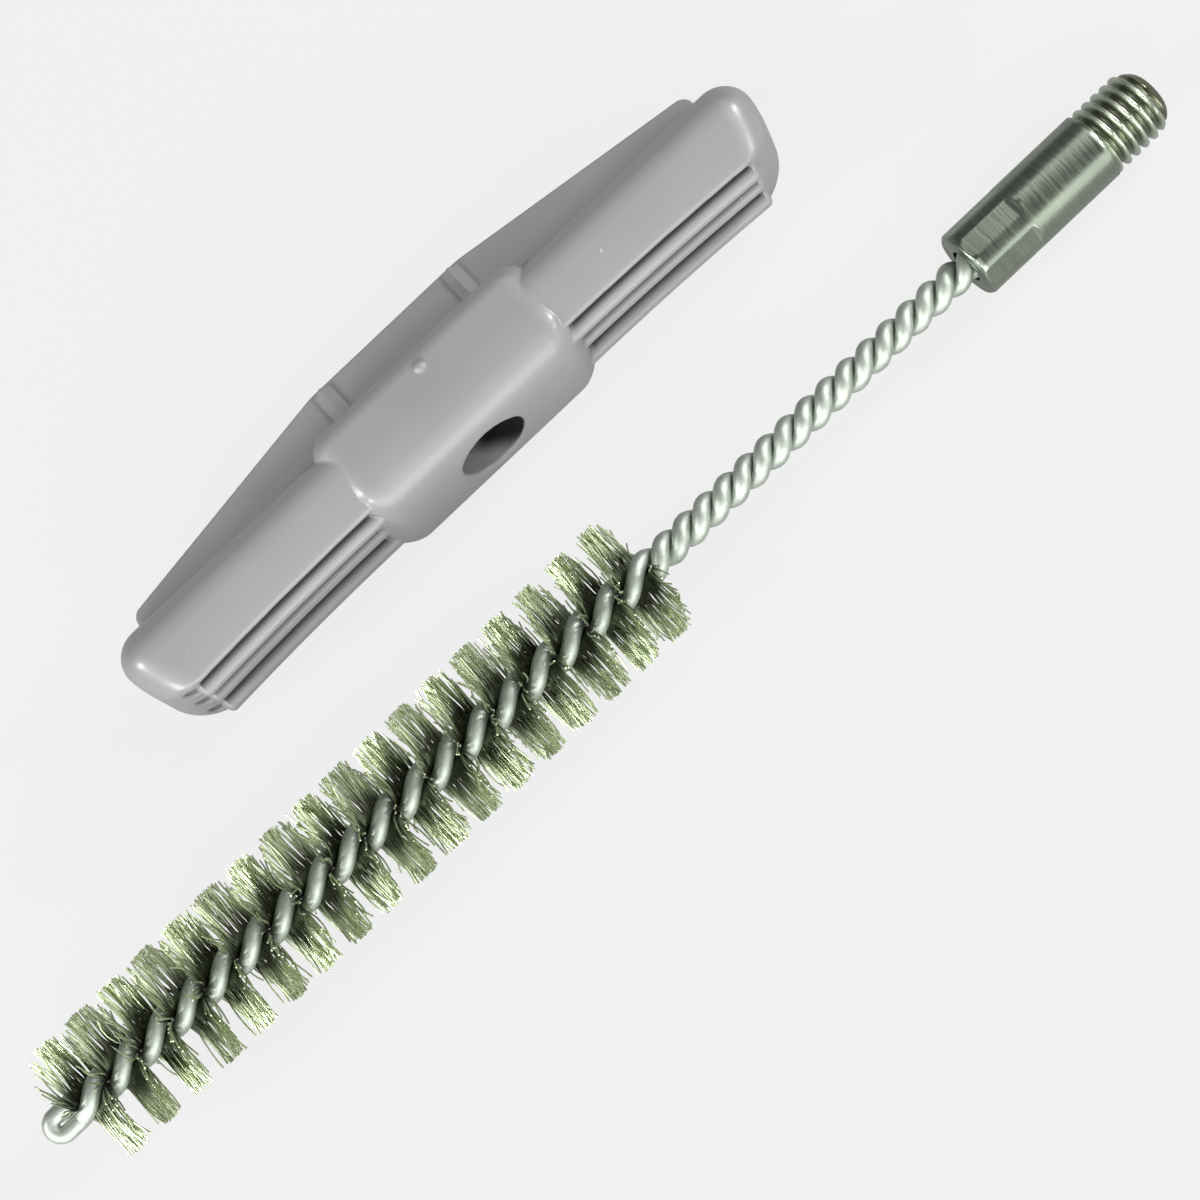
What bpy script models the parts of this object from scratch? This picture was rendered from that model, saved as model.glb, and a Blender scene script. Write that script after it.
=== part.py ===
"""Drill hole cleaning brush with its handle.

A wire brush lies beside the T-shaped plastic handle that it screws into. The brush is one steel
wire folded in half and twisted, with straight bristle wires gripped between its two strands, and a
threaded steel connector crimped on its open end. Both lie on a table at z = 0. The origin is on the
table under the middle of the handle's hub, +X runs along the handle, and the handle's mouth faces -Y.
"""

import math

import bmesh
import bpy
from mathutils import Vector

MM = 0.001

# Clearance between pieces that touch on the real brush
SEAT_GAP = 0.3 * MM
# How far a cutter runs past the face it opens
OVERRUN = 2.0 * MM
# Points closer than this are one point
MERGE_DISTANCE = 0.001 * MM

# Steps in curved forms
CIRCLE_STEPS = 40
BEAD_STEPS = 12
CORNER_STEPS = 4
NOSE_STEPS = 4
RIB_STEPS = 3
END_STEPS = 5
LOOP_STEPS = 6
TIP_STEPS = 4
SMOOTH_ANGLE = math.radians(35.0)
FULL_INSET_SHARE = 0.95

# Handle hub
HUB_LENGTH = 29.7 * MM
HUB_DEPTH = 12.1 * MM
HUB_THICKNESS = 15.4 * MM
HUB_FACE_HEIGHT = 12.6 * MM
HUB_NOSE_LENGTH = 6.2 * MM
HUB_BACK_ROUND = 2.2 * MM
HUB_END_ROUND = 3.2 * MM
HUB_MOUTH_ROUND = 0.9 * MM

# Socket in the hub
SOCKET_RADIUS = 4.1 * MM
SOCKET_FLOOR = 2.1 * MM
SOCKET_CHAMFER = 0.3 * MM

# Handle arms
HANDLE_LENGTH = 88.1 * MM
ARM_THICKNESS = 15.2 * MM
ARM_BACK_SETBACK = 1.15 * MM
ARM_BACK_ROUND = 4.0 * MM
ARM_SHOULDER_SETBACK = 2.65 * MM
ARM_SHOULDER_DROP = 1.2 * MM
ARM_FRONT_ROUND = 1.5 * MM
ARM_END_ROUND = 3.5 * MM
ARM_END_CREST = 3.1 * MM
ARM_END_SLANT = math.radians(21.5)
ARM_SLANT_REACH = 6.6 * MM
FINGER_HOLLOW = 1.1 * MM
STATION_SHARES = (0, 0.25, 0.5, 0.75)

# Finger ribs and the pocket they stand in
POCKET_HEIGHT = 11.9 * MM
POCKET_DEPTH = 1.4 * MM
POCKET_END_MARGIN = 5.6 * MM
RIB_COUNT = 3
RIB_WIDTH = 2.9 * MM
RIB_PITCH = 3.9 * MM
RIB_PROUD = 1.15 * MM
RIB_END_MARGIN = 4.9 * MM
RIB_END_ROUND = 1.0 * MM
RIB_ROOT = 1.2 * MM
MIDDLE_RIB_SETBACK = 0.35 * MM

# Web along the handle's back
WEB_THICKNESS = 2.4 * MM
WEB_HUB_RISE = 5.8 * MM
WEB_END_RISE = 2.45 * MM
WEB_FLAT_LENGTH = 20.8 * MM
WEB_END_MARGIN = 4.3 * MM
WEB_END_ROUND = 1.2 * MM
WEB_KNEE_ROUND = 10.4 * MM
WEB_ROOT = 2.5 * MM
BEAD_WIDTH = 1.95 * MM
BEAD_SPACING = 18.4 * MM
BEAD_SETBACK = 0.35 * MM

# Brush envelope and where it lies, seen from the handle's mouth
BRISTLE_RADIUS = 7.3 * MM
BRUSH_LOOP_X = -80.55 * MM
BRUSH_LOOP_SET_OFF = 22.2 * MM
BRUSH_TURN = math.radians(1.0)

# Folded and twisted stem wire
WIRE_RADIUS = 0.85 * MM
STRAND_GAP = 0.5 * MM
BRISTLE_BAND = 0.36 * MM
STEM_HALF_TURN = 2.86 * MM
TUFT_HALF_TURN = 4.417 * MM
TUFT_COUNT = 18
TWIST_START = 4.2 * MM
LOOP_BEND_X = 2.3 * MM
BARE_LENGTH = 44.75 * MM
PINCH_LENGTH = 2.5 * MM
STEM_INSERT = 8.6 * MM
FACE_ANGLE = math.radians(-17.7)
POINTS_PER_TURN = 8

# Bristle strands
STRANDS_PER_SIDE = 10
STRAND_WIDTH = 0.3 * MM
ROOT_RADIUS = 2.4 * MM
STRAND_TIP_SHARE = 0.6
STRAND_GATHER_SHARE = 0.33

# Threaded connector
CONNECTOR_LENGTH = 26.25 * MM
ROD_RADIUS = 3.97 * MM
THREAD_RADIUS = 3.89 * MM
THREAD_LENGTH = 7.95 * MM
TIP_LENGTH = 1.95 * MM
TIP_FLAT_RADIUS = 2.0 * MM
SHOULDER_ROUND = 0.25 * MM
WIRE_END_CHAMFER = 0.45 * MM
CRIMP_LENGTH = 7.5 * MM
CRIMP_FLATS = 6
CRIMP_ACROSS_FLATS = 7.56 * MM

# Looks: shares of red, green and blue, then roughness and metallic
PLASTIC_LOOK_SHARES = (0.36, 0.365, 0.37, 0.42, 0.0)
ZINC_LOOK_SHARES = (0.55, 0.56, 0.5, 0.28, 1.0)
WIRE_LOOK_SHARES = (0.58, 0.6, 0.56, 0.34, 1.0)
BRISTLE_LOOK_SHARES = (0.3, 0.31, 0.2, 0.4, 1.0)

# Places that follow from the sizes
HUB_FLAT_Y = (HUB_NOSE_LENGTH + HUB_DEPTH - HUB_BACK_ROUND) / 2
MOUTH_Y = -HUB_FLAT_Y
ARM_BACK = HUB_DEPTH - ARM_BACK_SETBACK
ARM_END = HANDLE_LENGTH / 2
BRISTLE_STRAND_RADIUS = (2 * WIRE_RADIUS + BRISTLE_BAND + 2 * SEAT_GAP) / 2
BARE_STRAND_RADIUS = (2 * WIRE_RADIUS + STRAND_GAP) / 2
TUFT_ZONE_END = TWIST_START + TUFT_COUNT * TUFT_HALF_TURN
CONNECTOR_X = TUFT_ZONE_END + BARE_LENGTH
THREAD_END_X = CONNECTOR_X + CONNECTOR_LENGTH - TIP_LENGTH


def clear_scene():
    """Start from an empty file."""
    for thing in list(bpy.data.objects):
        bpy.data.objects.remove(thing, do_unlink=True)


def new_collection(name):
    """Link a new collection to the scene."""
    collection = bpy.data.collections.new(name)
    bpy.context.scene.collection.children.link(collection)
    return collection


def make_material(name, look):
    """A Principled material with one colour."""
    *colour, roughness, metallic = look
    material = bpy.data.materials.new(name)
    material.use_nodes = True
    shader = material.node_tree.nodes["Principled BSDF"]
    shader.inputs["Base Color"].default_value = (*colour, 1)
    shader.inputs["Roughness"].default_value = roughness
    shader.inputs["Metallic"].default_value = metallic
    material.diffuse_color = (*colour, 1)
    return material


def add_object(name, data, collection, material=None, parent=None):
    """Put a mesh or curve in a collection under a name."""
    thing = bpy.data.objects.new(name, data)
    collection.objects.link(thing)
    thing.parent = parent
    if material:
        data.materials.append(material)
    return thing


def hide_tool(thing):
    """Mark an object that only shapes other pieces."""
    thing.hide_render = True
    thing.display_type = "WIRE"


def arc(centre_y, centre_z, radius, start, end, steps):
    """Points on a circle in the section plane; angles run from +Y towards +Z."""
    points = []
    for step in range(steps + 1):
        angle = start + (end - start) * step / steps
        points.append((centre_y + radius * math.cos(angle), centre_z + radius * math.sin(angle)))
    return points


def close_section(upper):
    """Mirror the upper half of a section below its middle plane."""
    return upper + [(y, -z) for y, z in reversed(upper)]


def add_loft(bm, rings):
    """Skin rings of equally many points and cap both ends; returns the side faces by segment."""
    rows = [[bm.verts.new(point) for point in ring] for ring in rings]
    count = len(rows[0])
    segments = []
    for near, far in zip(rows, rows[1:]):
        faces = []
        for i in range(count):
            j = (i + 1) % count
            faces.append(bm.faces.new((near[i], near[j], far[j], far[i])))
        segments.append(faces)
    bm.faces.new(list(reversed(rows[0])))
    bm.faces.new(rows[-1])
    bmesh.ops.recalc_face_normals(bm, faces=bm.faces)
    return segments


def mesh_from(bm, name, smooth=False):
    """Turn a bmesh into a mesh; a round form is shaded smooth between its sharp edges."""
    mesh = bpy.data.meshes.new(name)
    bm.to_mesh(mesh)
    bm.free()
    if smooth:
        mesh.shade_smooth()
        mesh.set_sharp_from_angle(angle=SMOOTH_ANGLE)
    return mesh


def loft_mesh(name, rings):
    """A mesh lofted through rings."""
    bm = bmesh.new()
    add_loft(bm, rings)
    return mesh_from(bm, name, smooth=True)


def end_rounding(length, radius):
    """Stations along one rounded end: how far out, and how far the section draws in."""
    stations = []
    for step in range(END_STEPS + 1):
        angle = math.pi / 2 * step / END_STEPS
        stations.append((length - radius + radius * math.sin(angle), radius * (1 - math.cos(angle))))
    return stations


def draw_in(value, centre, extent, inset):
    """Move a coordinate towards a centre as the edge at a given extent moves in by an inset."""
    share = min(inset / extent, FULL_INSET_SHARE)
    return centre + (value - centre) * (1 - share)


def rounded_bar(name, half_length, end_round, inner_stations, section_at, crest=None, slant_at=None):
    """Loft a bar along X whose sections draw in at both rounded ends.

    The ends stand out furthest along a crest line, set off from the back or in the middle. In
    front of it they may slant.
    """
    stations = [(x, 0) for x in inner_stations] + end_rounding(half_length, end_round)
    stations = [(-x, inset) for x, inset in reversed(stations)] + stations
    rings = []
    for x, inset in stations:
        section = section_at(abs(x))
        back = max(y for y, z in section)
        front = min(y for y, z in section)
        top = max(z for y, z in section)
        crest_y = back - crest if crest else (back + front) / 2
        ring = []
        for y, z in section:
            extent = back - crest_y if y > crest_y else crest_y - front
            drawn_y = draw_in(y, crest_y, extent, inset)
            lean = slant_at(abs(x)) * max(0, crest_y - drawn_y) if slant_at else 0
            ring.append((x - math.copysign(lean, x), drawn_y, draw_in(z, 0, top, inset)))
        rings.append(ring)
    return loft_mesh(name, rings)


def nose_arc(start_y, top_z, end_y, drop):
    """A shallow arc from the flat top down towards the front, and the angle where it ends."""
    run = start_y - end_y
    radius = (run * run + drop * drop) / (2 * drop)
    end_angle = math.pi / 2 + math.asin(run / radius)
    return arc(start_y, top_z - radius, radius, math.pi / 2, end_angle, NOSE_STEPS), end_angle


def rounded_front(nose, angle, radius):
    """Carry a nose on round its front corner, down to an upright front."""
    end_y, end_z = nose[-1]
    centre_y = end_y - radius * math.cos(angle)
    centre_z = end_z - radius * math.sin(angle)
    return nose + arc(centre_y, centre_z, radius, angle, math.pi, CORNER_STEPS)[1:]


def hub_section(x):
    """Hub: flat top and bottom, rounded back, and a nose that curves down to the mouth face."""
    top = HUB_THICKNESS / 2
    back = arc(HUB_DEPTH - HUB_BACK_ROUND, top - HUB_BACK_ROUND, HUB_BACK_ROUND, 0, math.pi / 2,
               CORNER_STEPS)
    drop = top - HUB_FACE_HEIGHT / 2
    _, angle = nose_arc(HUB_NOSE_LENGTH, top, 0, drop)
    end_y = HUB_MOUTH_ROUND * (1 + math.cos(angle))
    nose, angle = nose_arc(HUB_NOSE_LENGTH, top, end_y, drop * (1 - end_y / HUB_NOSE_LENGTH))
    return close_section(back + rounded_front(nose, angle, HUB_MOUTH_ROUND))


def finger_curve(x):
    """How far the finger side swings forward at a distance x from the hub's middle."""
    start = HUB_LENGTH / 2
    share = max(0, x - start) / (ARM_END - start)
    return FINGER_HOLLOW * share * share


def arm_section(x):
    """Arm: a rounded bar, round at the back and flatter towards the fingers."""
    top = ARM_THICKNESS / 2
    swing = finger_curve(x)
    back = arc(ARM_BACK - ARM_BACK_ROUND, top - ARM_BACK_ROUND, ARM_BACK_ROUND, 0, math.pi / 2,
               CORNER_STEPS)
    nose, angle = nose_arc(ARM_BACK - ARM_BACK_ROUND, top, ARM_SHOULDER_SETBACK - swing,
                           ARM_SHOULDER_DROP)
    return close_section(back[:-1] + rounded_front(nose, angle, ARM_FRONT_ROUND))


def arm_front():
    """How far the arm's finger side lies behind the mouth face beside the hub."""
    return min(y for y, z in arm_section(0))


def arm_slant(x):
    """Lean of the arm's end faces, which comes in along the last stretch."""
    share = max(0, x - (ARM_END - ARM_SLANT_REACH)) / ARM_SLANT_REACH
    return math.tan(ARM_END_SLANT) * share


def rib_section(setback):
    """Rib: a half round towards the fingers, with its root below the floor of the pocket."""
    half = RIB_WIDTH / 2
    root = arm_front() + POCKET_DEPTH + RIB_ROOT

    def section(x):
        tip = arm_front() - RIB_PROUD - finger_curve(x) + setback
        return close_section([(root, half)] + arc(tip + half, 0, half, math.pi / 2, math.pi, RIB_STEPS))

    return section


def handle_stations(last):
    """Stations of a bar that runs through the hub, with more where the finger side swings."""
    start = HUB_LENGTH / 2
    return [start + (last - start) * share for share in STATION_SHARES]


def crossbar_mesh():
    """The handle's crossbar, whose ends slant and round off."""
    straight_end = ARM_END - max(ARM_END_ROUND, ARM_SLANT_REACH)
    return rounded_bar("crossbar", ARM_END, ARM_END_ROUND,
                       handle_stations(straight_end) + [straight_end], arm_section,
                       ARM_END_CREST, arm_slant)


def make_rib(row, tools):
    """One finger rib; the middle one lies a little deeper."""
    off_middle = row - (RIB_COUNT - 1) / 2
    setback = 0 if off_middle else MIDDLE_RIB_SETBACK
    half_length = ARM_END - RIB_END_MARGIN
    mesh = rounded_bar("rib", half_length, RIB_END_ROUND, handle_stations(half_length - RIB_END_ROUND),
                       rib_section(setback))
    rib = add_object("rib", mesh, tools)
    rib.location = (0, 0, off_middle * RIB_PITCH)
    return rib


def add_box(name, collection, size, centre, parent=None):
    """A box of a given size about a centre, with its size in the mesh."""
    bm = bmesh.new()
    bmesh.ops.create_cube(bm, size=1)
    bmesh.ops.scale(bm, vec=size, verts=bm.verts)
    box = add_object(name, mesh_from(bm, name), collection, parent=parent)
    box.location = centre
    return box


def make_pocket(tools):
    """Cutter for the long pocket on the finger side."""
    floor = arm_front() + POCKET_DEPTH
    front = -FINGER_HOLLOW - OVERRUN
    length = 2 * (ARM_END - POCKET_END_MARGIN)
    pocket = add_box("pocket_cutter", tools, (length, floor - front, POCKET_HEIGHT),
                     (0, (floor + front) / 2, 0))
    corner = pocket.modifiers.new("corners", "BEVEL")
    corner.width = min(POCKET_DEPTH, POCKET_HEIGHT) / 2
    corner.segments = 2
    corner.limit_method = "ANGLE"
    return pocket


def round_corners(points, radii):
    """Replace each corner of an outline with an arc of its radius; 0 keeps the corner."""
    outline = []
    count = len(points)
    for i, radius in enumerate(radii):
        corner = Vector(points[i])
        if not radius:
            outline.append(corner)
            continue
        before = (Vector(points[i - 1]) - corner).normalized()
        after = (Vector(points[(i + 1) % count]) - corner).normalized()
        half_angle = before.angle(after) / 2
        centre = corner + (before + after).normalized() * radius / math.sin(half_angle)
        start = corner + before * radius / math.tan(half_angle) - centre
        sweep = start.angle_signed(corner + after * radius / math.tan(half_angle) - centre)
        for step in range(CORNER_STEPS + 1):
            angle = math.atan2(start.y, start.x) - sweep * step / CORNER_STEPS
            outline.append(centre + radius * Vector((math.cos(angle), math.sin(angle))))
    return outline


def curve_mesh(name, curve):
    """Make a closed mesh of a filled curve."""
    holder = bpy.data.objects.new(name, curve)
    bpy.context.scene.collection.objects.link(holder)
    graph = bpy.context.evaluated_depsgraph_get()
    mesh = bpy.data.meshes.new_from_object(holder.evaluated_get(graph))
    bpy.data.objects.remove(holder, do_unlink=True)
    bm = bmesh.new()
    bm.from_mesh(mesh)
    bmesh.ops.remove_doubles(bm, verts=bm.verts, dist=MERGE_DISTANCE)
    bm.to_mesh(mesh)
    bm.free()
    return mesh


def flat_outline(name, points, thickness):
    """A flat plate of a given thickness with an outline in the XY plane."""
    curve = bpy.data.curves.new(name, "CURVE")
    curve.dimensions = "2D"
    curve.fill_mode = "BOTH"
    curve.extrude = thickness / 2
    spline = curve.splines.new("POLY")
    spline.points.add(len(points) - 1)
    for target, (x, y) in zip(spline.points, points):
        target.co = (x, y, 0, 1)
    spline.use_cyclic_u = True
    return curve_mesh(name, curve)


def make_web():
    """The roof-shaped web that stiffens the handle's back."""
    end_x = ARM_END - WEB_END_MARGIN
    root_y = ARM_BACK - WEB_ROOT
    end_y = ARM_BACK + WEB_END_RISE
    crown_y = HUB_DEPTH + WEB_HUB_RISE
    knee_x = WEB_FLAT_LENGTH / 2
    half = [(end_x, root_y), (end_x, end_y), (knee_x, crown_y)]
    points = half + [(-x, y) for x, y in reversed(half)]
    radii = [0, WEB_END_ROUND, WEB_KNEE_ROUND, WEB_KNEE_ROUND, WEB_END_ROUND, 0]
    return flat_outline("web", round_corners(points, radii), WEB_THICKNESS)


def add_cylinder(name, collection, radius_low, radius_high, length, centre, segments):
    """A cylinder or cone whose axis runs along Y, from its low end to its high end."""
    bm = bmesh.new()
    bmesh.ops.create_cone(bm, cap_ends=True, segments=segments, radius1=radius_low,
                          radius2=radius_high, depth=length)
    cylinder = add_object(name, mesh_from(bm, name, smooth=True), collection)
    cylinder.rotation_euler = (-math.pi / 2, 0, 0)
    cylinder.location = centre
    return cylinder


def make_beads(tools):
    """Half-round beads across the web, one pair on each face."""
    back = HUB_DEPTH + WEB_HUB_RISE - BEAD_SETBACK
    start = HUB_DEPTH - HUB_BACK_ROUND
    beads = []
    for side in (-1, 1):
        for face in (-1, 1):
            centre = (side * BEAD_SPACING / 2, (start + back) / 2, face * WEB_THICKNESS / 2)
            bead = add_cylinder("bead", tools, BEAD_WIDTH / 2, BEAD_WIDTH / 2, back - start, centre,
                                BEAD_STEPS)
            bead.rotation_euler.y = math.pi / BEAD_STEPS
            beads.append(bead)
    return beads


def make_socket_cutters(tools):
    """The blind socket and the small chamfer at its mouth."""
    depth = HUB_DEPTH - SOCKET_FLOOR
    bore = add_cylinder("socket_cutter", tools, SOCKET_RADIUS, SOCKET_RADIUS, depth + OVERRUN,
                        (0, (depth - OVERRUN) / 2, 0), CIRCLE_STEPS)
    wide = SOCKET_RADIUS + SOCKET_CHAMFER + OVERRUN
    mouth = add_cylinder("socket_mouth_cutter", tools, wide, SOCKET_RADIUS,
                         SOCKET_CHAMFER + OVERRUN, (0, (SOCKET_CHAMFER - OVERRUN) / 2, 0),
                         CIRCLE_STEPS)
    return [bore, mouth]


def combine(target, tool, operation):
    """Cut a tool out of a piece, or join it on."""
    step = target.modifiers.new(tool.name, "BOOLEAN")
    step.operation = operation
    step.object = tool
    hide_tool(tool)


def place(things, parent):
    """Parent shaping tools like the piece that they shape."""
    for thing in things:
        thing.parent = parent


def make_handle(parts, tools):
    """The one-piece moulded handle: crossbar, finger ribs, hub, web, beads and socket."""
    frame = bpy.data.objects.new("handle_frame", None)
    parts.objects.link(frame)
    frame.location = (0, MOUTH_Y, HUB_THICKNESS / 2)
    material = make_material("grey_plastic", PLASTIC_LOOK_SHARES)
    handle = add_object("t_handle", crossbar_mesh(), parts, material, frame)
    pocket = make_pocket(tools)
    joined = [make_rib(row, tools) for row in range(RIB_COUNT)]
    hub_mesh = rounded_bar("hub", HUB_LENGTH / 2, HUB_END_ROUND, [], hub_section)
    joined.append(add_object("hub", hub_mesh, tools))
    joined.append(add_object("web", make_web(), tools))
    joined += make_beads(tools)
    cutters = make_socket_cutters(tools)
    combine(handle, pocket, "DIFFERENCE")
    for tool in joined:
        combine(handle, tool, "UNION")
    for tool in cutters:
        combine(handle, tool, "DIFFERENCE")
    place([pocket] + joined + cutters, frame)
    return handle


def twist_angle(x):
    """Angle of the first strand about the stem's axis, from +Z towards +Y: a left-hand twist."""
    first_front = TWIST_START + TUFT_HALF_TURN / 2
    if x <= TUFT_ZONE_END:
        half_turns = (x - first_front) / TUFT_HALF_TURN
    else:
        half_turns = (TUFT_ZONE_END - first_front) / TUFT_HALF_TURN
        half_turns += (x - TUFT_ZONE_END) / STEM_HALF_TURN
    return FACE_ANGLE + math.pi * half_turns


def strand_radius(x):
    """Distance of a strand's centre from the stem's axis: wider where bristles lie between."""
    share = min(1, max(0, (x - TUFT_ZONE_END) / PINCH_LENGTH))
    return BRISTLE_STRAND_RADIUS + (BARE_STRAND_RADIUS - BRISTLE_STRAND_RADIUS) * share


def around_axis(x, radius, angle):
    """A point at a distance from the stem's axis; the angle runs from +Z towards +Y."""
    return Vector((x, radius * math.sin(angle), radius * math.cos(angle)))


def strand_stations():
    """Places along the stem where the wire's line has a point, evenly spread in each twist."""
    per_half = POINTS_PER_TURN / 2
    tuft_steps = round(TUFT_COUNT * per_half)
    stations = [TWIST_START + (TUFT_ZONE_END - TWIST_START) * i / tuft_steps for i in range(tuft_steps)]
    end = CONNECTOR_X + STEM_INSERT
    bare_steps = round((end - TUFT_ZONE_END) / STEM_HALF_TURN * per_half)
    return stations + [TUFT_ZONE_END + (end - TUFT_ZONE_END) * i / bare_steps
                       for i in range(bare_steps + 1)]


def wire_line():
    """The line of the folded wire: up one strand, round the loop and back along the other."""
    stations = strand_stations()
    first = [around_axis(x, strand_radius(x), twist_angle(x)) for x in stations]
    second = [Vector((x, -y, -z)) for x, y, z in first]
    loop = []
    for step in range(LOOP_STEPS + 1):
        turn = math.pi * step / LOOP_STEPS
        x = LOOP_BEND_X - BRISTLE_STRAND_RADIUS * math.sin(turn)
        loop.append(around_axis(x, BRISTLE_STRAND_RADIUS * math.cos(turn), twist_angle(TWIST_START)))
    return list(reversed(first)) + loop + second, len(first)


def report_self_gap(first, second):
    """Print the least gap between the wire's two strands, measured on their points."""
    closest = min((a - b).length for a in first for b in second)
    print(f"least gap between the strands: {(closest - 2 * WIRE_RADIUS) / MM:.2f} mm")


def make_stem_wire(parts, frame):
    """One round wire, folded at the loop and twisted on itself."""
    points, count = wire_line()
    report_self_gap(points[:count], points[-count:])
    curve = bpy.data.curves.new("twisted_stem_wire", "CURVE")
    curve.dimensions = "3D"
    curve.bevel_depth = WIRE_RADIUS
    curve.bevel_resolution = 1
    curve.use_fill_caps = True
    spline = curve.splines.new("POLY")
    spline.points.add(len(points) - 1)
    for target, point in zip(spline.points, points):
        target.co = (*point, 1)
    material = make_material("galvanised_wire", WIRE_LOOK_SHARES)
    return add_object("twisted_stem_wire", curve, parts, material, frame)


def gathered(angle_off):
    """Bristles lean together towards the middle of their tuft."""
    return angle_off - STRAND_GATHER_SHARE * math.sin(2 * angle_off)


def make_tuft(number, parts, frame, material):
    """Half a turn of bristles, held at their middles in the band between the two strands."""
    start = TWIST_START + (number - 1) * TUFT_HALF_TURN
    middle = start + TUFT_HALF_TURN / 2
    length = TUFT_HALF_TURN - SEAT_GAP
    pitch = length / STRANDS_PER_SIDE
    stations = []
    for strand in range(STRANDS_PER_SIDE):
        centre = start + SEAT_GAP / 2 + pitch * (strand + 1 / 2)
        stations += [centre - STRAND_WIDTH / 2, centre + STRAND_WIDTH / 2]
    rings = []
    for x in stations:
        out = twist_angle(x) + math.pi / 2
        side = around_axis(0, BRISTLE_BAND / 2, out + math.pi / 2)
        edge = around_axis(x, ROOT_RADIUS, out)
        far_edge = around_axis(x, -ROOT_RADIUS, out)
        rings.append([edge - side, edge + side, far_edge + side, far_edge - side])
    bm = bmesh.new()
    segments = add_loft(bm, rings)
    roots = []
    for strand in range(STRANDS_PER_SIDE):
        roots += [segments[2 * strand][0], segments[2 * strand][2]]
    tips = bmesh.ops.extrude_discrete_faces(bm, faces=roots)["faces"]
    for tip in tips:
        root = tip.calc_center_median()
        off = math.pi * (root.x - middle) / TUFT_HALF_TURN
        flat = twist_angle(middle) + math.pi / 2
        if root.dot(around_axis(0, 1, flat + off)) < 0:
            flat += math.pi
        end = around_axis(root.x, BRISTLE_RADIUS, flat + gathered(off))
        for vert in tip.verts:
            vert.co = end + (vert.co - root) * STRAND_TIP_SHARE
    name = f"bristle_tuft_{number:02d}"
    return add_object(name, mesh_from(bm, name), parts, material, frame)


def make_connector(parts, tools, frame):
    """The steel connector: a turned rod with its wire end crimped to flats."""
    bore = BARE_STRAND_RADIUS + WIRE_RADIUS + SEAT_GAP
    bore_depth = STEM_INSERT + WIRE_RADIUS + SEAT_GAP
    thread_start = CONNECTOR_LENGTH - THREAD_LENGTH
    profile = [(0, CONNECTOR_LENGTH)]
    for step in range(TIP_STEPS + 1):
        share = step / TIP_STEPS
        profile.append((TIP_FLAT_RADIUS + (THREAD_RADIUS - TIP_FLAT_RADIUS) * share,
                        CONNECTOR_LENGTH - TIP_LENGTH * share * share))
    profile += [
        (THREAD_RADIUS, thread_start),
        (ROD_RADIUS - SHOULDER_ROUND, thread_start),
        (ROD_RADIUS, thread_start - SHOULDER_ROUND),
        (ROD_RADIUS, WIRE_END_CHAMFER),
        (ROD_RADIUS - WIRE_END_CHAMFER, 0),
        (bore, 0),
        (bore, bore_depth),
        (0, bore_depth),
    ]
    mesh = bpy.data.meshes.new("threaded_connector")
    mesh.from_pydata([(r, 0, z) for r, z in profile], [(i, i + 1) for i in range(len(profile) - 1)], [])
    material = make_material("zinc_steel", ZINC_LOOK_SHARES)
    connector = add_object("threaded_connector", mesh, parts, material, frame)
    connector.location = (CONNECTOR_X, 0, 0)
    connector.rotation_euler = (0, math.pi / 2, 0)
    turn = connector.modifiers.new("turned", "SCREW")
    turn.steps = CIRCLE_STEPS
    turn.render_steps = CIRCLE_STEPS
    turn.use_merge_vertices = True
    turn.merge_threshold = MERGE_DISTANCE
    for flat in range(CRIMP_FLATS):
        angle = 2 * math.pi * flat / CRIMP_FLATS
        centre = CRIMP_ACROSS_FLATS / 2 + OVERRUN / 2
        start = (CRIMP_LENGTH - OVERRUN) / 2
        cutter = add_box("crimp_cutter", tools, (CRIMP_LENGTH + OVERRUN, 2 * ROD_RADIUS, OVERRUN),
                         around_axis(CONNECTOR_X + start, centre, angle), frame)
        cutter.rotation_euler = (-angle, 0, 0)
        combine(connector, cutter, "DIFFERENCE")
    return connector


def brush_frame(parts):
    """The brush lies on its bristles and on its thread, so its axis slopes down to the thread."""
    tuft_end = TUFT_ZONE_END - TUFT_HALF_TURN / 2
    slope = math.atan((BRISTLE_RADIUS - THREAD_RADIUS) / (THREAD_END_X - tuft_end))
    frame = bpy.data.objects.new("brush_frame", None)
    parts.objects.link(frame)
    height = THREAD_RADIUS * math.cos(slope) + THREAD_END_X * math.sin(slope)
    frame.location = (BRUSH_LOOP_X, MOUTH_Y - BRUSH_LOOP_SET_OFF, height)
    frame.rotation_euler = (0, slope, BRUSH_TURN)
    return frame


def main():
    clear_scene()
    parts = new_collection("drill_hole_cleaning_brush")
    tools = new_collection("shaping_tools")
    make_handle(parts, tools)
    frame = brush_frame(parts)
    make_connector(parts, tools, frame)
    make_stem_wire(parts, frame)
    bristle_steel = make_material("bristle_steel", BRISTLE_LOOK_SHARES)
    for number in range(1, TUFT_COUNT + 1):
        make_tuft(number, parts, frame, bristle_steel)


main()
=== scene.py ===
"""Looks for a drill hole cleaning brush that lies beside the T-shaped handle it screws into.

The moulded handle, the threaded connector, the folded and twisted wire and every bristle wire are
modelled here in full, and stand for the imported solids. Lengths are in metres and z = 0 is the
table. The origin is on the table under the middle of the handle's hub, +X runs along the handle and
the handle's mouth faces -Y.
"""

import math
import random

import bmesh
import bpy
import numpy as np
from mathutils import Euler, Matrix, Vector


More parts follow.
